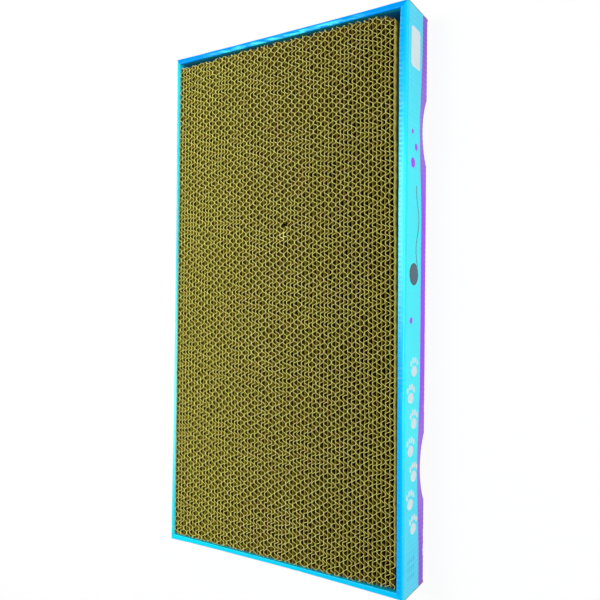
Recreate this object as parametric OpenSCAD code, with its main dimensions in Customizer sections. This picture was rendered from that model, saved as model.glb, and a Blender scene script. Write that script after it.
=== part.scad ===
// Cardboard cat scratcher: a pad of fluted board strips standing on edge, lying loose in a folded tray.
// X runs along the length, Z points up out of the pad, and the origin is the middle of the underside.

/* [Pad] */
// Number of board strips glued side by side
strip_count = 61; // [45:1:75]
// Length of each strip
strip_l = 370; // [250:1:480]
// Height of each strip, which is the depth of the pad
strip_h = 33.2; // [24:0.1:60]
// Thickness of one strip with its glue
strip_t = 3.03; // [2.6:0.01:4.2]
// Thickness of the flat paper on each side of a strip
liner_t = 0.25; // [0.15:0.01:0.35]
// Thickness of the fluted paper between the flat papers
medium_t = 0.22; // [0.15:0.01:0.3]
// Wave length of the finer fluting
fine_pitch = 6.07; // [4.5:0.01:6.5]
// Wave length of the coarser fluting
coarse_pitch = 6.85; // [6.6:0.01:9]

/* [Tray board] */
// Thickness of the printed micro-flute board
board_t = 1.2; // [0.8:0.1:1.6]
// Slack left between the two layers of the front long wall
front_slack = 2.3; // [1.8:0.1:4]
// Slack left between the two layers of the back long wall
back_slack = 1.2; // [0.6:0.1:3]
// Slack left in each end wall beside the corner flaps
end_slack = 0.1; // [0.05:0.05:1]
// Length of the corner flaps tucked into the end walls
flap_l = 68; // [30:1:80]

/* [Fit of the pad in the tray] */
// Gap between the pad and the front long wall
pad_front_gap = 2.5; // [0.3:0.1:6]
// Gap between the pad and the back long wall
pad_back_gap = 0.3; // [0.3:0.1:6]
// Gap between the pad and the left end wall
pad_left_gap = 0.3; // [0.3:0.1:6]
// Gap between the pad and the right end wall
pad_right_gap = 2.3; // [0.3:0.1:6]
// How far the pad's top lies below the rim
pad_recess = 0.6; // [0:0.1:3]

/* [Finger notches] */
// Width of a notch along the bottom edge of a long wall
notch_w = 48; // [25:1:60]
// Height of a notch in the wall
notch_h = 8; // [5:0.5:15]
// Depth of a notch in the floor panel
notch_d = 6; // [2:0.5:12]
// Distance between the centres of the two notches in a wall
notch_spacing = 224; // [80:1:300]

/* [Hidden] */
// Film of glue between neighbouring papers
glue_t = 0.03;
// How far every cut runs past what it cuts
overrun = 1;
$fn = 96;

// Share of a wave that each strip's fluting starts later than the strip before it
phase_share = 0.382;
// Every so many strips the fluting changes between fine and coarse
batch = 5;
// Strips of each batch that are cut from the coarser board
batch_coarse = 2;

strips_per_node = 2;
pad_w = strip_count * strip_t;
front_t = 2 * board_t + front_slack;
back_t = 2 * board_t + back_slack;
end_t = 3 * board_t + end_slack;
tray_l = strip_l + pad_left_gap + pad_right_gap + 2 * end_t;
tray_w = pad_w + pad_front_gap + pad_back_gap + front_t + back_t;
tray_h = board_t + strip_h + pad_recess;

half_l = tray_l / 2;
half_w = tray_w / 2;
rim_z = tray_h - board_t;
pad_x = -half_l + end_t + pad_left_gap;
pad_y = -half_w + front_t + pad_front_gap;
core_t = strip_t - 2 * liner_t - 3 * glue_t;
pad_nodes = ceil(strip_count / strips_per_node);

function two_digits(n) = n < 10 ? str("0", n) : str(n);
function first_strip(k) = k * strips_per_node;
function last_strip(k) = min(first_strip(k) + strips_per_node, strip_count) - 1;
function pad_node(k) = first_strip(k) == last_strip(k)
  ? str("pad_strip_", two_digits(first_strip(k) + 1))
  : str("pad_strips_", two_digits(first_strip(k) + 1), "_", two_digits(last_strip(k) + 1));

print_cyan = [0.25, 0.84, 0.96];
fold_blue = [0.1, 0.68, 0.98];
inside_blue = [0.08, 0.35, 0.62];
kraft = [0.72, 0.55, 0.34];
pad_kraft = [0.66, 0.64, 0.34];
pad_kraft_dark = [0.58, 0.52, 0.28];

// Radius of the circle whose arc has the given chord and height
function arc_radius(chord, rise) = (chord * chord / 4 + rise * rise) / (2 * rise);

// Runs a flat outline, drawn in Y and Z, along X from -len/2 to len/2
module along_x(len) {
  translate([-len / 2, 0, 0])
    rotate([90, 0, 90])
      linear_extrude(len)
        children();
}

// Quarter of a disc that rounds a fold, its square corner at the origin
module fold_quarter() {
  intersection() {
    circle(r = board_t);
    square(board_t);
  }
}

// Outline of an outer wall, its outside on the left, rounded into the floor
module outer_wall_outline() {
  translate([0, board_t])
    square([board_t, rim_z - board_t]);
  translate([board_t, board_t])
    rotate(180)
      fold_quarter();
}

// Outline of a rim of the given width, rounded at both folds
module rim_outline(width) {
  translate([board_t, 0])
    square([width - 2 * board_t, board_t]);
  translate([width - board_t, 0])
    fold_quarter();
  translate([board_t, 0])
    mirror([1, 0])
      fold_quarter();
}

// The arcs that cut the notches out of the front and back walls
module wall_notches() {
  r = arc_radius(notch_w, notch_h);
  for (side = [-1, 1])
    translate([side * notch_spacing / 2, 0, notch_h - r])
      rotate([90, 0, 0])
        cylinder(r = r, h = tray_w + 2 * overrun, center = true);
}

// The arcs that carry the notches on into the floor panel
module floor_notches() {
  r = arc_radius(notch_w, notch_d);
  for (side = [-1, 1])
    for (wall = [-1, 1])
      translate([side * notch_spacing / 2, wall * (half_w + r - notch_d), -overrun])
        cylinder(r = r, h = board_t + 2 * overrun);
}

// Flat panel between the four walls, cut back at the finger notches
module tray_floor() {
  color(kraft)
    difference() {
      translate([-half_l + board_t, -half_w + board_t, 0])
        cube([tray_l - 2 * board_t, tray_w - 2 * board_t, board_t]);
      floor_notches();
    }
}

// Outer layer of a long wall: side is -1 for the front and 1 for the back
module long_outer_wall(side) {
  color(print_cyan)
    difference() {
      mirror([0, side > 0 ? 1 : 0, 0])
        translate([0, -half_w, 0])
          along_x(tray_l - 2 * board_t)
            outer_wall_outline();
      wall_notches();
    }
}

// Top of a long wall between its two folds, mitred at both corners
module long_rim(side, wall_t) {
  color(fold_blue)
    mirror([0, side > 0 ? 1 : 0, 0])
      intersection() {
        translate([0, -half_w, rim_z])
          along_x(tray_l)
            rim_outline(wall_t);
        translate([0, 0, rim_z - overrun])
          linear_extrude(board_t + 2 * overrun)
            polygon([
              [-half_l, -half_w],
              [half_l, -half_w],
              [half_l - end_t, -half_w + wall_t],
              [-half_l + end_t, -half_w + wall_t]
            ]);
      }
}

// Inner layer of a long wall, standing on the floor and closing the end walls' edges
module long_inner_wall(side, wall_t) {
  length = tray_l - 2 * end_t + 2 * board_t;
  color(inside_blue)
    mirror([0, side > 0 ? 1 : 0, 0])
      translate([-length / 2, -half_w + wall_t - board_t, board_t])
        cube([length, board_t, rim_z - board_t]);
}

// Outer layer of an end wall: side is -1 for the left and 1 for the right
module end_outer_wall(side) {
  color(print_cyan)
    mirror([side > 0 ? 1 : 0, 0, 0])
      translate([-half_l, 0, 0])
        rotate([0, 0, -90])
          along_x(tray_w)
            outer_wall_outline();
}

// Top of an end wall between its two folds, mitred to meet both long rims
module end_rim(side) {
  color(fold_blue)
    mirror([side > 0 ? 1 : 0, 0, 0])
      intersection() {
        translate([-half_l, 0, rim_z])
          rotate([0, 0, -90])
            along_x(tray_w)
              rim_outline(end_t);
        translate([0, 0, rim_z - overrun])
          linear_extrude(board_t + 2 * overrun)
            polygon([
              [-half_l, -half_w],
              [-half_l + end_t, -half_w + front_t],
              [-half_l + end_t, half_w - back_t],
              [-half_l, half_w]
            ]);
      }
}

// Inner layer of an end wall, between the inner layers of the long walls
module end_inner_wall(side) {
  color(inside_blue)
    mirror([side > 0 ? 1 : 0, 0, 0])
      translate([-half_l + end_t - board_t, -half_w + front_t, board_t])
        cube([board_t, tray_w - front_t - back_t, rim_z - board_t]);
}

// Flap folded in from the end of a long wall and held between the two layers of an end wall
module corner_flap(side_x, side_y) {
  color(kraft)
    mirror([side_x > 0 ? 1 : 0, 0, 0])
      mirror([0, side_y > 0 ? 1 : 0, 0])
        translate([-half_l + board_t + end_slack / 2, -half_w + board_t, board_t])
          cube([board_t, flap_l, rim_z - board_t]);
}

// Wave length of the fluting in a strip: two boards are mixed in the pad
function pitch_of(strip) = (strip * 3) % batch < batch_coarse ? coarse_pitch : fine_pitch;

// Share of a wave by which a strip's fluting is shifted
function shift_of(strip) = strip * phase_share - floor(strip * phase_share);

// Height of the fluting's middle line across the core, 0 to 1, at a number of waves along it
function wave(turns) = abs(2 * (turns - floor(turns)) - 1);

// The same points from the last to the first
function reversed(points) = [for (i = [1:len(points)]) points[len(points) - i]];

// Outline of the fluted paper: the crests between both ends of the strip, as a ribbon of even thickness
function ribbon(strip) =
  let (
    pitch = pitch_of(strip),
    shift = shift_of(strip),
    slope = 2 * (core_t - medium_t) / pitch,
    half = medium_t / 2 * sqrt(1 + slope * slope),
    halves = ceil(2 * (strip_l / pitch + shift)),
    crests = [for (k = [0:halves]) (k / 2 - shift) * pitch],
    xs = concat([0], [for (x = crests) if (x > 0 && x < strip_l) x], [strip_l]),
    middle = [for (x = xs) [x, half + (core_t - 2 * half) * wave(x / pitch + shift)]]
  )
  concat(
    [for (p = middle) p + [0, half]],
    [for (p = reversed(middle)) p - [0, half]]
  );

// One strip of board standing on its long edge: two flat papers and the fluted one between them
module strip(number) {
  translate([pad_x, pad_y + number * strip_t, board_t]) {
    for (y = [glue_t / 2, strip_t - liner_t - glue_t / 2])
      translate([0, y, 0])
        cube([strip_l, liner_t, strip_h]);
    translate([0, liner_t + 1.5 * glue_t, 0])
      linear_extrude(strip_h)
        polygon(ribbon(number));
  }
}

// Neighbouring strips of the pad
module pad_strips(k) {
  color(k % 2 == 0 ? pad_kraft : pad_kraft_dark)
    for (number = [first_strip(k):last_strip(k)])
      strip(number);
}

tray_floor();
long_outer_wall(-1);  // front_outer_wall
long_rim(-1, front_t);  // front_rim
long_inner_wall(-1, front_t);  // front_inner_wall
long_outer_wall(1);  // back_outer_wall
long_rim(1, back_t);  // back_rim
long_inner_wall(1, back_t);  // back_inner_wall
end_outer_wall(-1);  // left_outer_wall
end_rim(-1);  // left_rim
end_inner_wall(-1);  // left_inner_wall
end_outer_wall(1);  // right_outer_wall
end_rim(1);  // right_rim
end_inner_wall(1);  // right_inner_wall
corner_flap(-1, -1);  // front_left_flap
corner_flap(1, -1);  // front_right_flap
corner_flap(-1, 1);  // back_left_flap
corner_flap(1, 1);  // back_right_flap
for (k = [0:pad_nodes - 1])
  pad_strips(k);
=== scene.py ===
# %% [markdown]
# # A cardboard cat scratcher
#
# The real object is a pad of corrugated board strips, glued side by side and standing on edge, that lies loose
# in a shallow tray folded from printed board. The CAD model already holds every sheet in its place and size.
# This lesson keeps that model as a fixed frame and rebuilds each visible surface around it, with the bends,
# torn papers and print that a plain solid leaves out.

import math

import bpy
import numpy as np
from mathutils import Matrix, Vector


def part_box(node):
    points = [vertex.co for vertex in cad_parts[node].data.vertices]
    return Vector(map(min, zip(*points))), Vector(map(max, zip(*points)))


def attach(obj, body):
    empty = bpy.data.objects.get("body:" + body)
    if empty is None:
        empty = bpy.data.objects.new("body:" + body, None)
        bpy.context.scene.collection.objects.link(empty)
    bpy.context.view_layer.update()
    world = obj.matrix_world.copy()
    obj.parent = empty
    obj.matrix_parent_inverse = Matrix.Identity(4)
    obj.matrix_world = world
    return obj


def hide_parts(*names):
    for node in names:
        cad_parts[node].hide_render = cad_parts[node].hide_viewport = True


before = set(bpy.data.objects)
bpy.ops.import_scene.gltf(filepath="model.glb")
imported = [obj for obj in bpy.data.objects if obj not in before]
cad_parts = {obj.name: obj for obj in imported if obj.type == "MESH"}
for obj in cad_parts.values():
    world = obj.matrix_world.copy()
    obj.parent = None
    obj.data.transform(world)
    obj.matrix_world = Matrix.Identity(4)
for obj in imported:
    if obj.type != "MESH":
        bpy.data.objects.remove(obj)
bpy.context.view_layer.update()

# %% [markdown]
# Every size comes from the frame, not from a ruler: a wall's thickness is the depth of its rim's box, and the
# pad's place is the box of its strips. All the shape formulas below work in millimetres, because a flute or a
# fold is easier to picture in them, and a mesh is scaled to metres when it is made.

# %% Read the sizes from the frame
MM = 0.001


def reach_of(node, axis):
    """Lowest and highest coordinate of a CAD node along axis 0, 1 or 2, in millimetres."""
    low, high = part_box(node)
    return low[axis] / MM, high[axis] / MM


def new_object(name, data):
    """A new object of the scene that shows a mesh, a lamp or a camera."""
    made = bpy.data.objects.new(name, data)
    bpy.context.scene.collection.objects.link(made)
    return made


half_l = reach_of("right_outer_wall", 0)[1]
half_w = reach_of("back_outer_wall", 1)[1]
rim_under, tray_h = reach_of("front_rim", 2)
board = tray_h - rim_under
wall_t = {
    "front": reach_of("front_rim", 1)[1] + half_w,
    "back": half_w - reach_of("back_rim", 1)[0],
    "left": reach_of("left_rim", 0)[1] + half_l,
    "right": half_l - reach_of("right_rim", 0)[0],
}
print("tray", round(2 * half_l, 2), round(2 * half_w, 2), round(tray_h, 2), "board", round(board, 2))
print("walls", {side: round(t, 2) for side, t in wall_t.items()})

# %% [markdown]
# The camera comes first, so that each piece can be judged from the right place. The tray is seen from in front
# of one long wall and well above it, with the camera rolled until the tray's length stands upright. Its place,
# its direction and its lens were fitted to the six corners of the tray that are in sight. A camera's own axes
# are right, up and backwards, so its matrix is those three directions and its place.

# %% Camera
EYE_MM = (-6.378, -248.881, 405.617)
LOOKING = (0.01199, 0.52583, -0.85051)
UP_IN_THE_PICTURE = (1.0, 0.00277, 0.01581)
FOCAL_LENGTH, SENSOR_WIDTH = 37.672, 36.0

lens = bpy.data.cameras.new("camera")
lens.lens, lens.sensor_width = FOCAL_LENGTH, SENSOR_WIDTH
lens.clip_start, lens.clip_end = 0.01, 20.0
camera = new_object("camera", lens)
eye, ahead = Vector(EYE_MM) * MM, Vector(LOOKING).normalized()
to_the_right = ahead.cross(Vector(UP_IN_THE_PICTURE)).normalized()
upwards = to_the_right.cross(ahead)
turned = Matrix((to_the_right, upwards, -ahead)).transposed().to_4x4()
camera.matrix_world = Matrix.Translation(eye) @ turned
bpy.context.scene.camera = camera
print("camera", [round(v, 3) for v in eye], "looks along", [round(v, 3) for v in ahead])

# %% [markdown]
# A studio for glossy print needs large soft lamps: small ones would leave hard spots on the folds. One softbox
# stands near the camera and lights the pad and the long printed wall. A second one hangs over the far side,
# where the flat rims mirror it and show their varnish. A sweep of pale paper is the floor and the backdrop.

# %% Lamps


def softbox(name, at, aim, wide, high, watts):
    """A rectangular lamp of the given size at a point, turned to shine at aim, all in metres."""
    lamp = bpy.data.lights.new(name, "AREA")
    lamp.shape, lamp.size, lamp.size_y, lamp.energy = "RECTANGLE", wide, high, watts
    made = new_object(name, lamp)
    made.location = at
    made.rotation_euler = (Vector(aim) - Vector(at)).to_track_quat("-Z", "Y").to_euler()
    return made


lamps = [
    softbox("softbox_front", at=(0, -1.05, 1.3), aim=(0, 0, 0.02), wide=0.9, high=0.9, watts=18),
    softbox("softbox_back", at=(0.19, 0.61, 1.005), aim=(0.19, 0.61, 0), wide=0.42, high=0.84, watts=11),
]
print("lamps", [lamp.name for lamp in lamps])

# %% [markdown]
# ## Finishes
#
# A finish is written as arithmetic. The class below wraps the output socket of a node, so that an expression
# such as `1 - mask * 0.5` adds the Math nodes it needs, and one method adds every other kind of node. Patterns
# read Object coordinates in millimetres, or the sheet's own coordinates that its mesh carries as a UV map.

# %% Shader helpers

# The sockets of a Mix node that mixes colours: the share, the two colours, and the result.
MIX_SHARE, MIX_FIRST, MIX_SECOND, MIX_RESULT = 0, 6, 7, 2


def srgb(red, green, blue):
    """A colour as a screen shows it, 0 to 255, turned to the linear light that shaders use."""
    parts = [c / 255 for c in (red, green, blue)]
    return (*(c / 12.92 if c <= 0.04045 else ((c + 0.055) / 1.055) ** 2.4 for c in parts), 1.0)


class Value:
    """An output socket with Python's arithmetic: each operation adds one Math node."""

    def __init__(self, finish, socket):
        self.finish, self.socket = finish, socket

    def math(self, operation, *others):
        """A Math node on this value and up to two others."""
        return self.finish.math(operation, self, *others)

    def __add__(self, other):
        return self.math("ADD", other)

    def __mul__(self, other):
        return self.math("MULTIPLY", other)

    def __sub__(self, other):
        return self.math("SUBTRACT", other)

    def __rsub__(self, other):
        return self.finish.math("SUBTRACT", other, self)

    def __truediv__(self, other):
        return self.math("DIVIDE", other)

    __radd__, __rmul__ = __add__, __mul__

    def __abs__(self):
        return self.math("ABSOLUTE")

    def __mod__(self, step):
        return self.math("FLOORED_MODULO", step)

    def below(self, limit, blur):
        """1 where the value is under a limit and 0 over it, with a soft step as wide as blur."""
        return ((limit - self) / blur + 0.5).math("MINIMUM", 1).math("MAXIMUM", 0)


class Finish:
    """A procedural material: the node tree, its Principled shader, and a method that adds any node."""

    def __init__(self, name, **constants):
        self.material = bpy.data.materials.new(name)
        self.material.use_nodes = True
        self.tree = self.material.node_tree
        self.shader = self.tree.nodes["Principled BSDF"]
        self.paint(**constants)

    def add(self, kind, inputs=(), **settings):
        """Any node: its type, what its sockets get, and its settings."""
        made = self.tree.nodes.new("ShaderNode" + kind)
        for name, value in settings.items():
            setattr(made, name, value)
        for key, value in dict(inputs).items():
            self.feed(made.inputs[key], value)
        return made

    def value(self, kind, inputs=(), output=0, **settings):
        """One output of a node that is added in the same way."""
        return Value(self, self.add(kind, inputs, **settings).outputs[output])

    def feed(self, socket, value):
        """Links a socket to a Value, or sets the number or colour that it holds."""
        if isinstance(value, Value):
            self.tree.links.new(value.socket, socket)
        else:
            socket.default_value = value

    def math(self, operation, *numbers):
        """A Math node on up to three numbers or Values."""
        return self.value("Math", enumerate(numbers), operation=operation)

    def mix(self, share, first, second):
        """The first colour where share is 0 and the second where it is 1."""
        sockets = {MIX_SHARE: share, MIX_FIRST: first, MIX_SECOND: second}
        return self.value("Mix", sockets, MIX_RESULT, data_type="RGBA")

    def place(self):
        """Object coordinates in millimetres: the vector, and its X, Y and Z."""
        source = self.value("TexCoord", output="Object")
        vector = self.value("VectorMath", {0: source, "Scale": 1 / MM}, operation="SCALE")
        return vector, self.split(vector)

    def sheet(self):
        """Coordinates along and up the sheet in millimetres, from the mesh's own UV map."""
        s, t, _ = self.split(self.value("UVMap", uv_map="sheet"))
        return s / MM, t / MM

    def split(self, vector):
        """The three parts of a vector."""
        made = self.add("SeparateXYZ", {0: vector})
        return [Value(self, made.outputs[k]) for k in range(3)]

    def join(self, x, y, z):
        """A vector from three parts, which stretches a noise that is read at it."""
        return self.value("CombineXYZ", {0: x, 1: y, 2: z})

    def noise(self, vector, scale, detail=2.0, rough=0.5):
        """Cloudy noise between about 0.2 and 0.8, scale waves to the millimetre."""
        return self.value("TexNoise", {"Vector": vector, "Scale": scale, "Detail": detail, "Roughness": rough})

    def bars(self, along, every):
        """A wave from 0 to 1 and back over each step of a length, as flutes show through a sheet."""
        return (along * (2 * math.pi / every)).math("SINE") * 0.5 + 0.5

    def relief(self, height, depth):
        """Feeds the shader's Normal with a bump whose height of 1 stands depth millimetres proud."""
        self.paint(Normal=self.value("Bump", {"Height": height, "Distance": depth * MM, "Strength": 1.0}))

    def paint(self, **inputs):
        """Feeds the shader's sockets by name."""
        for socket, value in inputs.items():
            self.feed(self.shader.inputs[socket.replace("_", " ")], value)


print("helpers ready; mid grey is", round(srgb(128, 128, 128)[0], 3))

# %% [markdown]
# The paper sweep is one surface of revolution: a flat disc that curves up into a wall far behind the object.
# The camera and mirror reflections see it as bright paper, and everything else sees plain white paper, so that
# it keeps the soft shadow under the tray.

# %% Floor and backdrop


def paper_sweep(radius=3.0, curve=0.8, height=2.4, under=0.0002, n=64):
    """A profile carried round the Z axis: flat to radius - curve, a quarter circle, then straight up."""
    quarter = np.linspace(0, np.pi / 2, 9)[1:]
    out = np.r_[0.02, radius - curve, radius - curve + curve * np.sin(quarter), radius]
    up = np.r_[0.0, 0.0, curve - curve * np.cos(quarter), height]
    turn = np.linspace(0, 2 * np.pi, n + 1)[:-1]
    points = np.stack([np.outer(np.cos(turn), out), np.outer(np.sin(turn), out), np.tile(up - under, (n, 1))], -1)
    rows = len(out)
    column = np.arange(n)[:, None]
    a = (column * rows + np.arange(rows - 1)[None]).ravel()
    b = ((column + 1) % n * rows + np.arange(rows - 1)[None]).ravel()
    quads = np.stack([a, b, b + 1, a + 1], 1).tolist()
    mesh = bpy.data.meshes.new("paper_sweep")
    disc = [k * rows for k in range(n - 1, -1, -1)]
    mesh.from_pydata(points.reshape(-1, 3).tolist(), [], [*quads, disc], shade_flat=False)
    return new_object("paper_sweep", mesh)


def studio_paper(own_light=0.9):
    """White paper that camera and mirror rays see lit by itself, to the share own_light."""
    paper = Finish("studio_paper", Base_Color=srgb(244, 245, 246), Roughness=0.9)
    paths = paper.add("LightPath")
    seen = Value(paper, paths.outputs["Is Camera Ray"])
    for kind in ("Is Glossy Ray", "Is Transmission Ray"):
        seen = seen.math("MAXIMUM", Value(paper, paths.outputs[kind]))
    white = Value(paper, paper.shader.outputs[0])
    glow = paper.value("Emission", {"Color": (1, 1, 1, 1), "Strength": 1.0})
    both = paper.value("MixShader", {0: seen * own_light, 1: white, 2: glow})
    paper.feed(paper.tree.nodes["Material Output"].inputs["Surface"], both)
    return paper.material


sweep = paper_sweep()
sweep.data.materials.append(studio_paper())

SKYLIGHT = 0.09

world = bpy.data.worlds.new("studio")
world.use_nodes = True
sky = world.node_tree.nodes["Background"]
sky.inputs["Color"].default_value = (1, 1, 1, 1)
sky.inputs["Strength"].default_value = SKYLIGHT
bpy.context.scene.world = world
bpy.context.scene.view_settings.view_transform = "Standard"
print("floor", sweep.name, "faces", len(sweep.data.polygons))

# %% [markdown]
# ## Sheets
#
# Everything on this object is a sheet of paper or board, so one function makes every mesh: it takes two skins,
# each a grid of points, and joins them along all four edges into a closed shell. Shells that belong to one
# piece are put together in one mesh, and each face carries its finish and its place on the flat sheet.

# %% Closed shells from two skins


def grid_of(*fields):
    """Stacks fields that depend on the column, on the row or on both into one grid of points or places."""
    return np.stack(np.broadcast_arrays(*fields), -1)


def shell(front, back, marks, faces):
    """Closed sheet between two grids of points, both (columns, rows, 3), facing away from each other.

    marks is a grid of (s, t) places on the flat sheet, shared by both skins. faces gives the finish of the
    front skin, of the back skin and of the four edges. Gives points, quads, finishes and marks.
    """
    n, m = front.shape[:2]
    points = np.concatenate([front.reshape(-1, 3), back.reshape(-1, 3)])
    marks = np.concatenate([marks.reshape(-1, 2)] * 2)
    at = np.arange(n * m).reshape(n, m)
    a, b, c, d = at[:-1, :-1], at[1:, :-1], at[1:, 1:], at[:-1, 1:]
    skin = np.stack([a, b, c, d], -1).reshape(-1, 4)
    ring = np.concatenate([at[:, 0], at[-1, 1:], at[-2::-1, -1], at[0, -2:0:-1]])
    following = np.roll(ring, -1)
    edges = np.stack([ring, ring + n * m, following + n * m, following], 1)
    quads = np.concatenate([skin, skin[:, ::-1] + n * m, edges])
    finish = np.repeat(faces, [len(skin), len(skin), len(edges)])
    corner = points[quads]
    centre = points.mean(0)
    area = np.cross(corner[:, 2] - corner[:, 0], corner[:, 3] - corner[:, 1])
    if ((corner.mean(1) - centre) * area).sum() < 0:
        quads = quads[:, ::-1]
    return points, quads, finish, marks


def piece(node, kind, shells, finishes, body="tray", sharp=32):
    """One object from its shells, smooth but for edges over sharp degrees, in the place of a CAD node."""
    start = np.cumsum([0] + [len(s[0]) for s in shells])
    points = np.concatenate([s[0] for s in shells]) * MM
    quads = np.concatenate([s[1] + k for s, k in zip(shells, start)])
    finish = np.concatenate([s[2] for s in shells])
    marks = np.concatenate([s[3] for s in shells]) * MM
    name = f"{node}_{kind}"
    mesh = bpy.data.meshes.new(name)
    mesh.from_pydata(points.tolist(), [], quads.tolist(), shade_flat=False)
    mesh.polygons.foreach_set("material_index", finish.astype(np.int32))
    mesh.uv_layers.new(name="sheet").uv.foreach_set("vector", marks[quads.ravel()].astype(np.float32).ravel())
    mesh.set_sharp_from_angle(angle=math.radians(sharp))
    for each in finishes:
        mesh.materials.append(each)
    made = new_object(name, mesh)
    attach(made, body)
    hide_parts(node)
    return made


print("sheet helpers ready")

# %% [markdown]
# ## The printed board
#
# The tray is varnished print on micro-flute board. The print is a clear cyan with a violet wave along the foot
# of each wall, and over it go a few simple motifs: a trail of paw prints, a ball of yarn, a plain label and a
# few dots. Each motif is a distance: how far a point lies inside an ellipse or a rounded box.

# %% Motifs of the print

CYAN, SKY = srgb(0, 240, 252), srgb(0, 212, 246)
VIOLET, PLUM = srgb(160, 20, 246), srgb(126, 24, 206)
WHITE, SLATE = srgb(214, 230, 232), srgb(30, 60, 80)
STRAND, SMALL_PRINT, CRACKED = srgb(96, 150, 170), srgb(26, 110, 190), srgb(196, 230, 238)
SOFT = 0.3  # width in millimetres of the step at a motif's edge


def ellipse(s, t, wide, high):
    """Distance outside an ellipse round the origin, near its edge and in millimetres, negative inside."""
    share = ((s / wide).math("POWER", 2) + (t / high).math("POWER", 2)).math("SQRT")
    return (share - 1) * min(wide, high)


def rounded_box(s, t, wide, high, corner):
    """Distance outside a box of half-sizes wide and high with rounded corners."""
    out_s, out_t = (abs(s) - (wide - corner)).math("MAXIMUM", 0), (abs(t) - (high - corner)).math("MAXIMUM", 0)
    return (out_s.math("POWER", 2) + out_t.math("POWER", 2)).math("SQRT") - corner


def disc(s, t, radius):
    """Distance outside a disc."""
    return ellipse(s, t, radius, radius)


def paw(s, t, size=8.2):
    """Distance outside a paw print that points along s: one broad pad and four toes."""
    found = ellipse(s + 0.35 * size, t, 0.42 * size, 0.55 * size)
    for along, up in ((0.28, -0.62), (0.52, -0.22), (0.52, 0.22), (0.28, 0.62)):
        found = found.math("MINIMUM", ellipse(s - along * size, t - up * size, 0.24 * size, 0.17 * size))
    return found


print("motifs ready")

# %% [markdown]
# The violet foot is a wave: it swells over each finger notch, because a printer leaves spare ink round a die
# cut. Wear follows the folds, where the varnish cracks and pale paper shows, so the finish knows how high on
# the sheet its two folds lie and scatters a noise along them.

# %% The print as a finish

NOTCH_AT = 112.0  # distance of a finger notch from the middle of its wall
FOOT, SWELL, SWELL_WIDTH = 9.2, 3.7, 62  # height of the violet foot, how far it swells, and half the swell's width
TOP_FOLD = 33.8  # height on the sheet at which a wall bends over into its rim


def dull_ends(s):
    """0 in the middle of a wall and 1 at its ends, where the ink is deeper."""
    return 1 - s.below(120, 90)


def print_finish(name, waves, motif=None):
    """Varnished print: cyan with a violet foot, motif(ink, colour, s, t) on top, and cracked folds."""
    ink = Finish(name, Specular_IOR_Level=0.3)
    vector, _ = ink.place()
    s, t = ink.sheet()
    cloud = ink.noise(vector, 0.02)
    fine = ink.noise(vector, 1.6, 4, 0.7)
    ends = dull_ends(abs(s) - cloud * 30)
    colour = ink.mix(ends, CYAN, SKY)
    off = (abs(abs(s) - NOTCH_AT) / SWELL_WIDTH).math("MINIMUM", 1)
    swell = (off * math.pi).math("COSINE") * 0.5 + 0.5
    top = swell * (SWELL if waves else 0) + FOOT
    violet = ink.mix(swell * (0.8 if waves else 0), ink.mix(ends, VIOLET, PLUM), srgb(150, 108, 214))
    colour = ink.mix(t.below(top, 0.35), colour, violet)
    if motif:
        colour = motif(ink, colour, s, t)
    worn = (t.below(1.6, 2.0) * 0.6 + abs(t - TOP_FOLD).below(0.7, 1.0)) * (1 - fine.below(0.58, 0.1))
    ink.paint(Base_Color=ink.mix(worn * 0.4, colour, CRACKED), Roughness=fine * 0.16 + worn * 0.3 + 0.22)
    ink.relief(fine - worn * 0.5, 0.03)
    return ink.material


def dots(ink, colour, s, t, places):
    """Violet dots, each given by its place along and up the wall and its radius."""
    for at, up, radius in places:
        colour = ink.mix(disc(s - at, t - up, radius).below(0, SOFT), colour, VIOLET)
    return colour


def trail(s, t, count, first, step, up, sway):
    """Paw prints at even steps along the wall, by turns under and over a line."""
    return [paw(s - (first + step * k), t - (up + (sway if k % 2 else -sway))) for k in range(count)]


def long_side_motif(ink, colour, s, t):
    """Paw trail, ball of yarn with a loose thread, dots, a plain label and a field of dashes."""
    found, *others = trail(s, t, count=7, first=-146, step=17, up=21.6, sway=2.6)
    for other in others:
        found = found.math("MINIMUM", other)
    colour = ink.mix(found.below(0, SOFT), colour, WHITE)
    ball = disc(s - 16, t - 21, 7.2)
    strand = abs(((s * 0.8 + t) % 2.4) - 1.2).below(0.35, SOFT)
    colour = ink.mix(ball.below(0, SOFT), colour, SLATE)
    colour = ink.mix(ball.below(-0.8, SOFT) * strand * 0.5, colour, STRAND)
    thread = abs(t - 15.5 - ((s - 22) * 0.16).math("SINE") * 2.2).below(0.5, 0.25)
    within = (1 - s.below(21, 0.4)) * s.below(74, 0.4)
    colour = ink.mix(thread * within, colour, SLATE)
    colour = dots(ink, colour, s, t, ((88, 24, 3.4), (99, 19, 2.4), (108, 25, 1.7), (-14, 25, 2.2)))
    label = rounded_box(s - 163, t - 21, 13, 7.5, 2.6)
    colour = ink.mix(label.below(0, SOFT), colour, WHITE)
    dash = abs((s % 5.5) - 2.75).below(1.5, SOFT) * abs((t % 3.2) - 1.6).below(0.4, 0.25)
    zone = rounded_box(s + 172, t - 22.4, 9, 6.4, 1)
    return ink.mix(dash * zone.below(0, 0.2) * 0.8, colour, SMALL_PRINT)


def short_side_motif(ink, colour, s, t):
    """Three paw prints in a row and a pair of dots."""
    for each in trail(s, t, count=3, first=-22, step=22, up=21.5, sway=2):
        colour = ink.mix(each.below(0, SOFT), colour, WHITE)
    return dots(ink, colour, s, t, ((62, 22, 3.2), (71, 22, 2)))


wall_print_long = print_finish("print_long_walls", True, long_side_motif)
wall_print_short = print_finish("print_end_walls", False, short_side_motif)
under_print = print_finish("print_underside", False)
print("print finishes:", [m.name for m in (wall_print_long, wall_print_short, under_print)])

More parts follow.
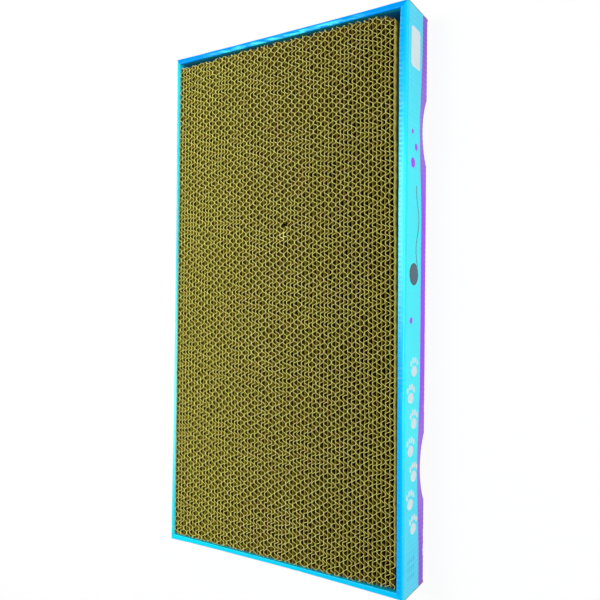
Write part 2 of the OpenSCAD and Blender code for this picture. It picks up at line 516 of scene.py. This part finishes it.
# %% [markdown]
# The rim is the same print bent twice. Its sheet coordinate counts the bends instead of millimetres: 1 to 2 is
# the outer fold, 2 to 3 the flat top and 3 to 4 the inner fold, so a crease stays on its fold wherever the
# wall is wider or narrower. The rims' inks are painted light: deeper or lighter than the walls' cyan by side,
# with a painted reflection in the middle of the near and far rims. The lining is the part of the print that
# goes down inside: the pad rubs it dull, and a strip just under the fold is lighter, a painted highlight.

# %% Finishes of the rim and the lining

FLUTE_STEP = 3.2  # distance from flute to flute in the tray's thin board
OUTER_CREASE, INNER_CREASE = 1.45, 3.12  # where the two creases lie, counted in bends


def rim_finish(name, near, far, fold=None, middle=None, at=0, bars=0.0, inner_fold_highlight=0.0, rubbed=400, gloss=0.26):
    """Print with cracked folds. Its ink runs from near to far across the tray, a painted change of light, with
    middle, a painted reflection, around the place at.

    fold is the ink of the outer bend if it isn't the wall's own, bars how far the flutes show, inner_fold_highlight
    the strength of a painted highlight in slanting streaks on the inner bend, and rubbed how far from the middle
    the rim is worn and that highlight reaches.
    """
    ink = Finish(name, Specular_IOR_Level=gloss)
    vector, (_, y, _) = ink.place()
    s, t = ink.sheet()
    fine = ink.noise(vector, 1.9, 4, 0.7)
    streak = ink.noise(ink.join(s * 0.9, t * 0.5, 0), 0.5, 3)
    # Painted light: the ink runs from near to far, so that a rim is lighter on the side where more light falls.
    across = y / (2 * half_w) + 0.5 + (ink.noise(vector, 0.03) - 0.5) * 0.3
    colour = ink.mix(across.math("MINIMUM", 1).math("MAXIMUM", 0), near, far)
    # Painted reflection: a lighter ink around at stands in for the far softbox mirrored in the varnish.
    if middle:
        colour = ink.mix(abs(s - at + (streak - 0.5) * 40).below(60, 85), colour, middle)
    flute = ink.bars(s, FLUTE_STEP)
    colour = ink.mix(flute * (1 - t.below(2.3, 0.5)) * bars, colour, srgb(0, 130, 214))
    colour = ink.mix(t.below(1.75, 0.7), colour, fold or ink.mix(dull_ends(abs(s)), CYAN, SKY))
    worn = abs(s).below(rubbed, 30)
    # Painted highlight: light cyan in slanting streaks along the inner bend, where it catches the light, as far as worn
    # reaches.
    slanting = ink.noise(ink.join((s + t * 7) * 0.22, t * 1.1, 5), 0.6, 3, 0.65)
    bright = abs(t - 3.1).below(0.8, 0.5) * (1 - slanting.below(0.5, 0.16)) * worn * inner_fold_highlight
    colour = ink.mix(bright, colour, srgb(80, 248, 250))
    crease = abs(t - OUTER_CREASE).below(0.2, 0.4) * 0.4 + abs(t - INNER_CREASE).below(0.14, 0.3)
    crack = crease * (1 - fine.below(0.54, 0.12)) * (worn * 0.8 + 0.2)
    scuff = (1 - streak.below(0.7, 0.08)) * abs(t - 2.6).below(0.9, 0.6) * 0.12
    pale = (crack * 0.3 + scuff).math("MINIMUM", 1)
    ink.paint(Base_Color=ink.mix(pale, colour, srgb(170, 226, 236)), Roughness=fine * 0.1 + pale * 0.25 + 0.14)
    ink.relief(fine - pale * 0.6, 0.04)
    return ink.material


def lining_finish():
    """The same print inside the tray, rubbed dull by the pad, with a painted highlight on a strip under the fold."""
    ink = Finish("print_lining", Roughness=0.45)
    vector, (x, y, z) = ink.place()
    fine = ink.noise(vector, 1.4, 4, 0.7)
    rubbed = 1 - ink.noise(ink.join(x * 0.4, y * 0.4, z * 0.08), 0.9, 3).below(0.6, 0.1)
    colour = ink.mix(ink.noise(vector, 0.03), srgb(0, 168, 226), srgb(0, 140, 222))
    # Painted highlight: the top few millimetres of the lining are a lighter cyan.
    colour = ink.mix((1 - z.below(31, 3)) * 0.8, colour, srgb(30, 244, 252))
    ink.paint(Base_Color=ink.mix(rubbed * 0.4, colour, srgb(120, 190, 205)), Roughness=fine * 0.2 + 0.36)
    ink.relief(fine, 0.03)
    return ink.material


# The rims' inks are painted light and shade on the walls' print. They are deeper than the walls' cyan, deepest on the
# right rim, which gets the least light, and lighter on the far rim and along the left rim towards the far side. The
# near and far rims also carry painted reflections in their middle.
BLUE, SHADED_BLUE, LIT_TEAL = srgb(0, 180, 250), srgb(0, 148, 250), srgb(0, 214, 232)

rim_prints = {
    "front": rim_finish("print_rim_near", BLUE, BLUE, middle=srgb(40, 238, 250), at=58, bars=0.42),
    "right": rim_finish("print_rim_right", SHADED_BLUE, SHADED_BLUE, srgb(0, 154, 252), inner_fold_highlight=0.9, rubbed=58, gloss=0.04),
    "left": rim_finish("print_rim_left", srgb(0, 190, 246), srgb(0, 218, 244), srgb(0, 200, 246), gloss=0.14),
    "back": rim_finish("print_rim_far", LIT_TEAL, LIT_TEAL, LIT_TEAL, middle=srgb(120, 252, 250), at=72),
}
lining_print = lining_finish()
print("rims and lining:", [m.name for m in rim_prints.values()], lining_print.name)

# %% [markdown]
# Bare board is kraft paper: brown, with short fibres that lie mostly one way, a few dark flecks, and faint
# bars where the flutes press through from inside. The cut edge of the board is paler and rougher.

# %% Finish of bare board


def kraft_finish(name, base, dark, bars):
    """Kraft paper with fibres, flecks and, where bars is 1, the flutes that show through."""
    paper = Finish(name, Roughness=0.85)
    vector, (x, y, z) = paper.place()
    fibre = paper.noise(paper.join(x * 0.5, y * 2.2, z * 0.6), 1.5, 5, 0.7)
    fleck = 1 - paper.noise(vector, 2.4, 2).below(0.7, 0.05)
    flute = paper.bars(x, FLUTE_STEP)
    colour = paper.mix(fibre, dark, base)
    colour = paper.mix(fleck * 0.5 + flute * (0.12 * bars), colour, dark)
    paper.paint(Base_Color=colour, Roughness=fibre * 0.2 + 0.72)
    paper.relief(fibre + flute * bars, 0.05)
    return paper.material


board_face = kraft_finish("kraft_face", srgb(198, 160, 108), srgb(150, 114, 70), 1)
board_cut = kraft_finish("kraft_cut_edge", srgb(176, 154, 110), srgb(112, 90, 58), 0)
print("kraft:", board_face.name, board_cut.name)

# %% [markdown]
# ## The tray's walls
#
# Each wall is one strip of board that goes up from the floor, over the top and down again inside. So one
# function gives the whole path of that strip, and the outer wall, the rim and the inner wall are three
# stretches of it. Two smooth fields are added: a bow, because long walls lean in at the middle, and the small
# ripples that the flutes press into the print.

# %% Path of a folded wall

# How far under its bend a rim meets the wall, how much thinner than its board a sheet is, and how far the long
# outer layers reach into the end ones.
SEAM, THINNER, OVERLAP = 0.3, 0.05, 0.6
LONG = ("front", "back")
FOLD_RADIUS = {"back": 1.3, "left": 1.3, "right": 1.1}
INNER_RADIUS = {"front": 0.75, "back": 0.8, "left": 0.6, "right": board}
LEAN = {"front": 0.5, "back": 1.0, "left": 1.2, "right": 0.6}
PROUD = {"back": 0, "left": 0.9, "right": 0.9}


def drift(seed, *fields, waves=6, long=120.0, short=18.0):
    """Smooth noise about -1 to 1: a sum of seeded cosines of the fields, in wavelengths from long to short."""
    dice = np.random.default_rng(seed)
    total = 0
    for length in np.geomspace(long, short, waves):
        turn = dice.uniform(0, 2 * np.pi, 1 + len(fields))
        phase = sum(np.cos(a + 0.5) * f for a, f in zip(turn, fields)) * (2 * np.pi / length)
        total = total + np.cos(phase + turn[-1]) * (length / long) ** 0.3
    return total / np.sqrt(waves)


def fold_radius(side, s):
    """Radius of the outer fold, which is softer along the near wall."""
    if side == "front":
        return 1.45 + 0.4 * (1 + s / half_l) + 0.12 * drift(3, s)
    return FOLD_RADIUS[side] + 0 * s


def half_length(side):
    """Half the length of the tray along one of its walls."""
    return half_l if side in LONG else half_w


def bow(side, s):
    """How far the outer edge leans in at the top: a half wave along the wall, plus a little drift."""
    half_wave = np.cos(np.clip(s / half_length(side), -1, 1) * np.pi / 2) ** 0.8
    return LEAN[side] * half_wave + 0.12 * (1 + drift(11 + len(side), s)) / 2


def width_at_top(side, s):
    """Width of the wall at its rim: the linings lean towards the pad, the near wall's more so at one end."""
    if side == "front":
        return wall_t[side] + 0.25 + 0.7 * (1 + s / half_l) - 0.9 * np.clip((s - 160) / 30, 0, 1) ** 2
    return wall_t[side] + PROUD[side] + 0 * s


def corner_width(side, end):
    """Width of a wall at its rim where it meets the next wall, end being 1 or -1 along it."""
    return float(width_at_top(side, np.array(end * half_length(side))))


def wall_path(side, s, part, share):
    """Points of the wall's strip, and which way they face, in (distance from the outer face, height).

    part names the stretch: 0 the bottom fold, 1 the outer face, 2 to 4 the outer fold, flat and inner fold of
    the rim, 5 the lining. share goes from 0 to 1 through it. s is the place along the wall. All are arrays.
    The outer face leans in with its height, and the lining sways back to the wall's thickness further down.
    """
    r1, r2 = fold_radius(side, s), INNER_RADIUS[side]
    lean, wide = bow(side, s), width_at_top(side, s)
    turn = share * np.pi / 2
    sin, cos = np.sin(turn), np.cos(turn)
    up_to = tray_h - r1
    rise = (board + (up_to - board) * share) / tray_h
    fall = tray_h - r2 - (tray_h - r2 - board) * share
    sway = wide - (wide - wall_t[side]) * ((tray_h - fall) / tray_h) ** 0.7
    table = (
        (board - board * sin, board - board * cos, -sin, -cos),
        (lean * rise ** 1.3, board + (up_to - board) * share, -1, 0),
        (lean + r1 - r1 * cos, up_to + r1 * sin, -cos, sin),
        (lean + r1 + (wide - r2 - lean - r1) * share, tray_h, 0, 1),
        (wide - r2 + r2 * sin, tray_h - r2 + r2 * cos, sin, cos),
        (sway, fall, 1, 0),
    )
    return [sum(np.where(part == k, row[i], 0.0) for k, row in enumerate(table)) for i in range(4)]


def stand(side, s, d, z):
    """Turns a wall's own coordinates into the tray's: along the wall, in from its outer face, and up."""
    x = {"front": s, "right": half_l - d, "back": -s, "left": d - half_l}[side]
    y = {"front": d - half_w, "right": s, "back": half_w - d, "left": -s}[side]
    return grid_of(x, y, z)


print("fold radius of the near wall", np.round(fold_radius("front", np.array([-half_l, half_l])), 2))

# %% [markdown]
# The finger notches cut the outer layer from below: each is a flat arch, so the lowest row of the mesh simply
# follows the arch instead of the bottom fold. Under each arch the floor has a shallow bite as well.

# %% Finger notches

NOTCH_CHORD, NOTCH_RISE, NOTCH_DEPTH = 48.0, 8.0, 6.0
NOTCH_X = (-NOTCH_AT, NOTCH_AT)


def arc(chord, rise, off):
    """Height of a circular arc over its chord at a distance off from its middle, and 0 outside it."""
    radius = (chord ** 2 / 4 + rise ** 2) / (2 * rise)
    inside = np.abs(off) < chord / 2
    return np.where(inside, rise - radius + np.sqrt(np.maximum(radius ** 2 - off ** 2, 0)), 0.0)


def notch_height(s):
    """Height of the arches above the floor's plane at a place along a long wall."""
    return sum(arc(NOTCH_CHORD, NOTCH_RISE, s - at) for at in NOTCH_X)


def notch_ends(inside):
    """Places along a wall where the arches start and end, a hair inside their chords."""
    half = NOTCH_CHORD / 2 - inside
    return [at + end for at in NOTCH_X for end in (-half, half)]


def columns(low, high, step, extra=()):
    """Evenly spaced places from low to high, with some extra ones kept exactly."""
    even = np.linspace(low, high, int((high - low) / step) + 1)
    keep = [e for e in even if all(abs(e - x) > step * 0.3 for x in extra)]
    return np.array(sorted([*keep, *extra]))[:, None]


print("notches at", NOTCH_X, "with arches", NOTCH_RISE, "mm high")

# %% [markdown]
# Now each wall is built as three closed shells that meet in hidden butt joints. The outer skin takes the
# ripples: along the long walls the flutes stand upright, and on the end walls they lie flat, because all of
# them run the same way across the one blank that the tray is folded from.

# %% Wall pieces


def ripple(side, s, z, t):
    """Depth in millimetres that the print sinks between flutes: 0 on a flute, most between two."""
    along = s if side in LONG else t
    depth = 0.05 + 0.03 * drift(21, s, z, long=60, short=9) - 0.02 * (z > rim_under)
    turn = along * (2 * np.pi / FLUTE_STEP) + 0.4 * drift(5, s, long=90)
    return np.clip(depth, 0.01, 0.14) * (1 - np.cos(turn))


def dents(side, s, z):
    """Shallow knocks along the folds, always inwards."""
    field = drift(31 + len(side), s, z * 1.5, waves=7, long=70, short=7)
    return 0.3 * np.clip(field - 0.75, 0, 1) ** 1.5


def wall_skins(side, s, part, share, reach, t):
    """Both skins of a stretch of wall and their marks. reach limits s on a row, and t is its place up the sheet.

    An end wall is thinner over its last 2.4 mm, where the edge of a long wall stands behind it.
    """
    d, z, nd, nz = wall_path(side, s, part, share)
    s_here = s * (reach(d, z) / np.abs(s).max())
    sink = ripple(side, s_here, z, t) + dents(side, s_here, z)
    thick = np.where(part == 4, INNER_RADIUS[side], board) - THINNER
    if side not in LONG:
        thick = thick * (1 - 0.6 * np.clip(np.abs(s) - (half_w - 2.4), 0, 1) * (part < 3))
    front = stand(side, s_here, d - nd * sink, z - nz * sink)
    back = stand(side, s_here, d - nd * thick, z - nz * thick)
    return front, back, grid_of(s_here, t + 0 * s_here)


def outer_reach(side):
    """Half-length of an outer layer: the long ones stand between the end ones."""
    return reach_of(side + "_outer_wall", 0)[1] + OVERLAP if side in LONG else half_w - 0.02


def outer_wall(side):
    """The outer layer: bottom fold, then up the wall to the seam under the rim.

    climb is a row's share of the way from the arch or the floor's edge to the seam, and length that way.
    """
    long_side = side in LONG
    reach = outer_reach(side)
    s = columns(-reach, reach, 0.55 if long_side else 1.6, notch_ends(0.02) if long_side else ())
    climb = np.r_[np.linspace(0, 0.055, 6), np.linspace(0.055, 1, 16 if long_side else 62)[1:]][None]
    bend = tray_h - fold_radius(side, s)
    start = notch_height(s) if long_side else 0 * s
    fold_length = board * np.pi / 2
    low_in_fold = fold_length * np.arccos(1 - np.minimum(start, board) / board) / (np.pi / 2)
    low = np.where(start < board, low_in_fold, start - board + fold_length)
    length = low + (bend - SEAM - board + fold_length - low) * climb
    in_fold = length < fold_length
    share = np.where(in_fold, length / fold_length, (length - fold_length) / (bend - board))
    height = np.where(in_fold, board * (1 - np.cos(share * np.pi / 2)), length - fold_length + board)
    skins = wall_skins(side, s, np.where(in_fold, 0, 1), share, lambda d, z: reach + 0 * d, height)
    finishes = [wall_print_long if long_side else wall_print_short, board_face, board_cut]
    return piece(side + "_outer_wall", "print", [shell(*skins, (0, 1, 2))], finishes)


walls = [outer_wall(side) for side in wall_t]
print("outer walls:", {w.name: len(w.data.polygons) for w in walls})

# %% [markdown]
# The rims meet in mitres at the corners. Each rim starts as long as its wall and gets shorter towards the
# inside, by the ratio of the two widths that meet, so that both rims end on one line. A hair of a gap is left
# there, since the real folds never quite close.

# %% Rims

MITRE_GAP = 0.07
ROUND_THE_TRAY = ["front", "right", "back", "left"]
RIM_ROWS = {1: 2, 2: 9, 3: 7, 4: 8, 5: 2}  # how many rows of the mesh each part of the path gets


def rim(side):
    """Outer fold, flat top and inner fold of one wall, mitred at both ends, with a short hem below each fold.

    The first row of a part repeats the last one of the part before, and is dropped.
    """
    half, body = half_length(side), outer_reach(side)
    here = ROUND_THE_TRAY.index(side)
    after, before = ROUND_THE_TRAY[(here + 1) % 4], ROUND_THE_TRAY[here - 1]
    steep = {end: corner_width(other, -end) / corner_width(side, end) for end, other in ((1, after), (-1, before))}

    def reach(d, z):
        """Half-length of a row: the outer layer's below the fold, and the mitre's further in."""
        mitre = half - np.maximum(d, 0) * np.where(s > 0, steep[1], steep[-1]) - MITRE_GAP
        over = np.clip((z - rim_under) / (board * 0.6), 0, 1)
        return np.minimum(body + (half - MITRE_GAP - body) * over, mitre)

    s = columns(-half, half, 0.55 if side in LONG else 1.4)
    part = np.repeat(list(RIM_ROWS), list(RIM_ROWS.values()))[None]
    share = np.concatenate([np.linspace(0, 1, count) for count in RIM_ROWS.values()])[None]
    on_wall = 1 - (1 - share) * SEAM / (tray_h - fold_radius(side, s) - board)
    on_lining = share * SEAM / (tray_h - INNER_RADIUS[side] - board)
    share = np.where(part == 1, on_wall, np.where(part == 5, on_lining, share))
    keep = np.r_[True, np.diff(part[0]) == 0]
    skins = (grid[:, keep] for grid in wall_skins(side, s, part, share, reach, part - 1 + share))
    finishes = [rim_prints[side], board_face]
    return piece(side + "_rim", "print", [shell(*skins, (0, 1, 0))], finishes)


rims = [rim(side) for side in wall_t]
print("rims:", {r.name: len(r.data.polygons) for r in rims})

# %% [markdown]
# The lining goes down from the inner fold to the floor. The end linings stand between the long ones.

# %% Linings


def lining(side, gap=0.1):
    """The inner layer of one wall, from the seam under the inner fold to the floor, with a gap at its ends."""
    node = side + "_inner_wall"
    long_side = side in LONG
    reach = reach_of(node, 0 if long_side else 1)[1] - gap
    s = columns(-reach, reach, 1.1 if long_side else 1.6)
    from_top = SEAM / (tray_h - INNER_RADIUS[side] - board)
    share = np.linspace(from_top, 1, 12 if long_side else 48)[None]
    z = wall_path(side, s, 5, share)[1]
    skins = wall_skins(side, s, 5, share, lambda d, z: reach + 0 * d, z + 0 * s)
    finishes = [lining_print, board_face, board_cut]
    return piece(node, "print", [shell(*skins, (0, 1, 2))], finishes)


linings = [lining(side) for side in wall_t]
print("linings:", {p.name: len(p.data.polygons) for p in linings})

# %% [markdown]
# The floor is one flat sheet with four shallow bites under the arches. Four flaps, folded round from the long
# walls, stand inside the end walls. They hardly show, but they are what stiffens the corners.

# %% Floor and flaps


def floor_sheet():
    """A grid whose rows run from one long edge to the other, with the edge drawn in at the notches."""
    (x0, x1), (_, y1), (z0, z1) = (reach_of("tray_floor", k) for k in range(3))
    x = columns(x0, x1, 1.5, notch_ends(0.01))
    edge = y1 - sum(arc(NOTCH_CHORD, NOTCH_DEPTH, x - at) for at in NOTCH_X)
    y = edge * np.linspace(-1, 1, 41)[None]
    made = shell(grid_of(x, y, z1 - THINNER), grid_of(x, y, z0), grid_of(x, y), (0, 1, 2))
    finishes = [board_face, under_print, board_cut]
    return piece("tray_floor", "sheet", [made], finishes)


def flap(node, rounded=0.09, play=0.02, most=0.12):
    """One flap: a sheet with rounded free corners that bellies out by most, with some play to its neighbours."""
    (x0, x1), (y0, y1), (z0, z1) = (reach_of(node, k) for k in range(3))
    free = 1 if y0 + y1 < 0 else -1
    along = np.linspace(0, 1, 40)[:, None]
    y = (y0 if free > 0 else y1) + free * (y1 - y0) * along
    into = np.clip((along - (1 - rounded)) / rounded, 0, 1)
    corner = 6 * (1 - np.sqrt(np.clip(1 - into ** 2, 0, 1)))
    up = np.linspace(0, 1, 14)[None]
    z = z0 + corner + (z1 - z0 - 2 * corner) * up
    belly = most * np.sin(np.pi * along) * np.sin(np.pi * up)
    skins = [grid_of(x, y, z) for x in (x0 + play + belly, x1 - (play + most) + belly)]
    made = shell(*skins, grid_of(y, z), (0, 0, 1))
    return piece(node, "sheet", [made], [board_face, board_cut])


inside = [floor_sheet(), *(flap(n) for n in sorted(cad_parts) if n.endswith("flap"))]
print("floor and flaps:", [p.name for p in inside])

# %% [markdown]
# ## The pad
#
# The pad is what the eye sees: sixty-one strips of corrugated board on edge, each a wavy sheet between two
# flat ones. Its cells are deep and need real shade inside them, so each sheet is a real one. They all share
# one slow field of movement, as the glued block was squeezed and sawn as a whole, and each joint adds its own.

# %% Measures of the pad

pad_nodes = sorted(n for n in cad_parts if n.startswith("pad_strip"))
strip_ids = {n: [int(part) - 1 for part in n.split("_")[2:]] for n in pad_nodes}
strip_count = max(sum(strip_ids.values(), [])) + 1
pad_x0, pad_x1 = reach_of(pad_nodes[0], 0)
pad_z0, pad_z1 = reach_of(pad_nodes[0], 2)
pad_y0 = min(reach_of(n, 1)[0] for n in pad_nodes)
pad_y1 = max(reach_of(n, 1)[1] for n in pad_nodes)
strip_t = (pad_y1 - pad_y0) / strip_count
LINER, MEDIUM, TORN = 0.16, 0.2, 14  # thickness of both kinds of paper, and the length torn off the outermost
wave = (strip_t - 2 * LINER - MEDIUM) / 2 - 0.02  # how far a wavy sheet's middle line swings
print("pad", strip_count, "strips of", round(strip_t, 3), "mm, wave of", round(wave, 3), "mm each way")

# %% [markdown]
# Two kinds of finish cover the pad. Flat paper is painted darker further down, a painted shade that adds to the
# real shade. The sawn edges are much paler and draw the waves seen from above. Both carry painted light: darker
# near and brighter far.

# %% Finishes of the pad


def pad_paper(name, light, dark, deep, low, ends=None, bottom=32.1, fade=1.3):
    """Raw brown paper, lighter and darker by the strip, with fibres of a deeper tone, and a painted shade.

    low is the painted shade further down: the paper passes into it around the height bottom, over fade, and more
    fully in the near half. ends is a plainer tone, with less painted shade, that shows at the block's two ends
    and at its torn corner.
    """
    paper = Finish(name, Roughness=0.9, Specular_IOR_Level=0.04)
    _, (x, y, z) = paper.place()
    batch = paper.noise(paper.join(x * 0.004, y * 0.31, 0), 1, 1)
    fibre = paper.noise(paper.join(x, y, z * 0.25), 1.6, 3)
    colour = paper.mix(batch, light, dark)
    # Painted shade: darker further down into the cells, and darker still in the near half.
    shade = z.below(bottom, fade) * (y.below(0, 100) * 0.75 + 0.2)
    colour = paper.mix(shade, paper.mix(fibre * 0.35, colour, deep), low)
    if ends:
        bare = x.below(pad_x0 + 2, 2.5).math("MAXIMUM", 1 - x.below(pad_x1 - 5.5, 2.5))
        bare = bare.math("MAXIMUM", x.below(pad_x0 + TORN + 1, 2) * y.below(pad_y0 + 3, 0.5))
        colour = paper.mix(bare * z.below(32.4, 1.2) * 0.8, colour, ends)
    paper.paint(Base_Color=colour, Roughness=fibre * 0.2 + 0.75)
    paper.relief(fibre, 0.04)
    return paper.material


def pad_cut(name, light, dark, tan, dusty):
    """Sawn edges, fuzzy and pale: two tones by patches, a few tan or dusty, and painted light that makes them duller
    near and brighter far.
    """
    paper = Finish(name, Roughness=0.95, Specular_IOR_Level=0.1)
    vector, (x, y, _) = paper.place()
    patch = paper.noise(vector, 0.028, 3)
    fuzz = paper.noise(vector, 2.2, 4, 0.75)
    batch = paper.noise(paper.join(x * 0.01, y * 0.36, 3), 1, 1)
    hue = paper.noise(vector, 0.3, 2)
    colour = paper.mix(patch, light, dark)
    colour = paper.mix((1 - hue.below(0.6, 0.16)) * 0.8, colour, tan)
    colour = paper.mix(batch * 0.4, colour, dusty)
    colour = paper.mix((1 - fuzz.below(0.56, 0.12)) * 0.5, colour, srgb(150, 138, 54))
    # Painted light: duller towards the near side and brighter towards the far side.
    colour = paper.mix(y.below(-50, 110) * 0.42, colour, srgb(140, 132, 50))
    colour = paper.mix((1 - y.below(35, 60)) * 0.3, colour, srgb(255, 255, 110))
    paper.paint(Base_Color=colour, Roughness=fuzz * 0.2 + 0.76)
    paper.relief(fuzz, 0.12)
    return paper.material


# Painted light and shade set these tones apart. The cell papers are darkened as painted shade in the cells, and the
# wavy sheet is also a darker paper. The outer side paper is lightened as painted light on the face that sits in the gap
# by the near rim.
liner_paper = pad_paper("pad_liner_paper", srgb(146, 130, 16), srgb(124, 94, 16), srgb(84, 60, 8), srgb(22, 15, 3),
                        ends=srgb(176, 140, 70))
flute_paper = pad_paper("pad_flute_paper", srgb(92, 78, 12), srgb(72, 54, 10), srgb(50, 36, 6), srgb(18, 12, 3),
                        ends=srgb(150, 116, 56))
side_paper = pad_paper("pad_side_paper", srgb(252, 216, 104), srgb(232, 186, 84), srgb(198, 150, 66),
                       srgb(128, 96, 48), bottom=30.6, fade=3)
liner_cut = pad_cut("pad_liner_cut", srgb(164, 162, 58), srgb(148, 140, 46), srgb(186, 144, 74), srgb(166, 156, 80))
flute_cut = pad_cut("pad_flute_cut", srgb(246, 252, 140), srgb(232, 232, 120), srgb(246, 208, 150), srgb(240, 232, 164))
pad_finishes = [liner_paper, liner_cut, side_paper, flute_paper, flute_cut]
print("pad finishes:", [m.name for m in pad_finishes])

# %% [markdown]
# A real block never keeps its grid: it was squeezed, sawn and scratched. These functions take a place in the
# straight block and say how far it moves. Two strips in five have the coarser flutes, and each starts a golden
# share of a turn after the one before, which keeps neighbours from lining up.

# %% Movement of the glued block

CRUSH_X, CRUSH_Y = 52.5, -6.7
MASHED_X, MASHED_Y = CRUSH_X - 7.5, CRUSH_Y + 0.8  # where paper beside the crush is mashed wide
FINE_PITCH, COARSE_PITCH = 6.07, 6.85
GOLDEN_SHARE = 0.382


def moved(x, y):
    """Where a place of the straight block gets to.

    The block gets narrower towards one end, waves a few cells long run through it, and paper is pushed away
    from the crush.
    """
    narrow = 1.005 - 0.021 * (x - pad_x0) / (pad_x1 - pad_x0)
    inner = np.clip((pad_y1 - y) / 12, 0, 1) * np.clip((x - pad_x0) / 12, 0, 1)
    dx = 0.3 * inner * drift(41, x, y, waves=7, long=40, short=9)
    dy = 0.26 * inner * drift(42, x, y, waves=7, long=40, short=9)
    away_x, away_y = x - CRUSH_X, y - CRUSH_Y
    near = np.exp(-(away_x / 5) ** 2 - (away_y / 3.4) ** 2)
    dx = dx + 0.2 * near * np.tanh(away_x / 0.8) - 1.3 * np.exp(-((away_x + 7) ** 2 + (away_y - 2.4) ** 2) / 16)
    return x + dx, pad_y1 + (y - pad_y1) * narrow + dy + 0.15 * near * np.tanh(away_y / 1.5)


def worn_top(x, y):
    """How far the sawn top is pressed down: at the crush, along the rubbed near edge and at its right corner."""
    crush = 9 * np.exp(-((x - CRUSH_X) / 0.85) ** 4 - ((y - CRUSH_Y) / 1.9) ** 4)
    edge = np.clip(1 - (y - pad_y0) / 2.5, 0, 1) * 0.35
    corner = 1.6 * np.exp(-(((x - pad_x1) / 7) ** 2 + ((y - pad_y0) / 5) ** 2))
    return crush + edge + corner


def flute_turn(n, x):
    """Phase of strip n's wavy sheet in radians: its own flute size, start and drift."""
    pitch = COARSE_PITCH if n * 3 % 5 < 2 else FINE_PITCH
    shift = (n * GOLDEN_SHARE) % 1 + 0.2 * np.random.default_rng(700 + n).uniform(-1, 1)
    return 2 * np.pi * ((x - pad_x0) / pitch + shift) + 0.8 * drift(400 + n, x, long=90, short=24)


def joint_wave(index, x):
    """Waviness of one glued joint: the crests on both sides push it, and it drifts a little on its own."""
    pushed = sum(np.cos(flute_turn(n, x)) for n in (index - 1, index) if 0 <= n < strip_count)
    return 0.2 * pushed + 0.14 * drift(200 + index, x, waves=5, long=36, short=8)


def paper_sheet(x, y, lean_x, lean_y, half, seed, fray, faces):
    """One standing sheet as a closed shell: a line of points, the way it faces, and half its thickness.

    It has three rows: on the floor, a little under the sawn top, and at the top, where the paper is uneven and
    fray times as thick. Beside the crush it is mashed wider still.
    """
    dice = np.random.default_rng(seed)
    tall = pad_z1 - pad_z0
    up = np.array([0, tall - 0.8, tall])[None]
    frayed = np.array([0, 0.25, 1])[None]
    x, y, lean_x, lean_y = (v[:, None] for v in (x, y, lean_x, lean_y))
    mashed = 2.6 * np.exp(-((x - MASHED_X) ** 2 / 9 + (y - MASHED_Y) ** 2 / 5))
    spread = (np.array([1, 1, fray])[None] + (frayed == 1) * mashed) * half
    burr_y = 0.13 * dice.uniform(-1, 1, x.shape)
    burr_z = 0.14 * dice.uniform(0, 1, x.shape)
    at_x, at_y = moved(x, y)
    worn = worn_top(x, y)
    z = pad_z0 + up - frayed * (burr_z + worn) - (up > 0) * (frayed < 0.5) * worn
    back, front = (grid_of(at_x + way * spread * lean_x, at_y + way * spread * lean_y + frayed * burr_y, z)
                   for way in (-1, 1))
    return shell(front, back, grid_of(x, z), faces)


print("crush pressed down", round(float(worn_top(CRUSH_X, CRUSH_Y)), 2), "mm")

# %% [markdown]
# Along a strip the wavy sheet is a cosine less a little of its third harmonic, which flattens the crests where
# they are glued to the liners and makes the flanks between them steeper. Divided by its own height, it still
# reaches the liners. The strips' ends are sawn unevenly, one corner of the block is knocked off, and at the
# other near corner the outermost paper is torn away.

# %% Strips

THIRD, CREST = 0.15, 0.86  # share of the third harmonic, and height of the sum
SEED = 5000


def strip_ends(n):
    """Both ends of a strip along the tray, uneven, with the corners knocked back but for the far left one."""
    dice = np.random.default_rng(900 + n)
    start = pad_x0 + 1 + 0.3 * dice.uniform() + 1.2 * max(0, 1 - n / 9)
    corner = {0: 3, 1: 1.6, 2: 0.8}.get(n, 0) + 1.2 * max(0, (n - 38) / 22)
    return start, pad_x1 - 0.3 - n / 160 + dice.uniform(-0.35, 0.3) - corner


def strip_shells(n):
    """The two liners of strip n, each along its glued joint, and the wavy sheet that swings between them."""
    start, end = strip_ends(n)
    low_y = pad_y0 + n * strip_t
    made = []
    for far, joint in ((0, n), (1, n + 1)):
        outermost = joint == 0
        x0 = start + (TORN if outermost else 0)
        x = np.linspace(x0, end - 0.5, int(end - x0))
        y = low_y + (strip_t - LINER / 2 if far else LINER / 2) + joint_wave(joint, x)
        faces = (0, 2, 1) if outermost else (2, 0, 1) if joint == strip_count else (0, 0, 1)
        made.append(paper_sheet(x, y, 0 * x, 1 + 0 * x, LINER / 2 - 0.002, SEED + 3 * n + far, 1, faces))
    x = np.linspace(start, end, int((end - start) * 1.5))
    near_joint, far_joint = joint_wave(n, x), joint_wave(n + 1, x)
    turn = flute_turn(n, x)
    swing = wave + (far_joint - near_joint) / 2
    crest = (np.cos(turn) - THIRD * np.cos(3 * turn)) / CREST
    y = low_y + strip_t / 2 + (far_joint + near_joint) / 2 + swing * crest
    slope = np.gradient(y, x)
    length = np.hypot(1, slope)
    made.append(paper_sheet(x, y, -slope / length, 1 / length, MEDIUM / 2, SEED + 3 * n + 2, 1.5, (3, 3, 4)))
    return made


strips = []
for node in pad_nodes:
    shells = sum((strip_shells(n) for n in strip_ids[node]), [])
    strips.append(piece(node, "paper", shells, pad_finishes, body="pad", sharp=62))
print("pad pieces", len(strips), "triangles", 2 * sum(len(o.data.polygons) for o in strips))
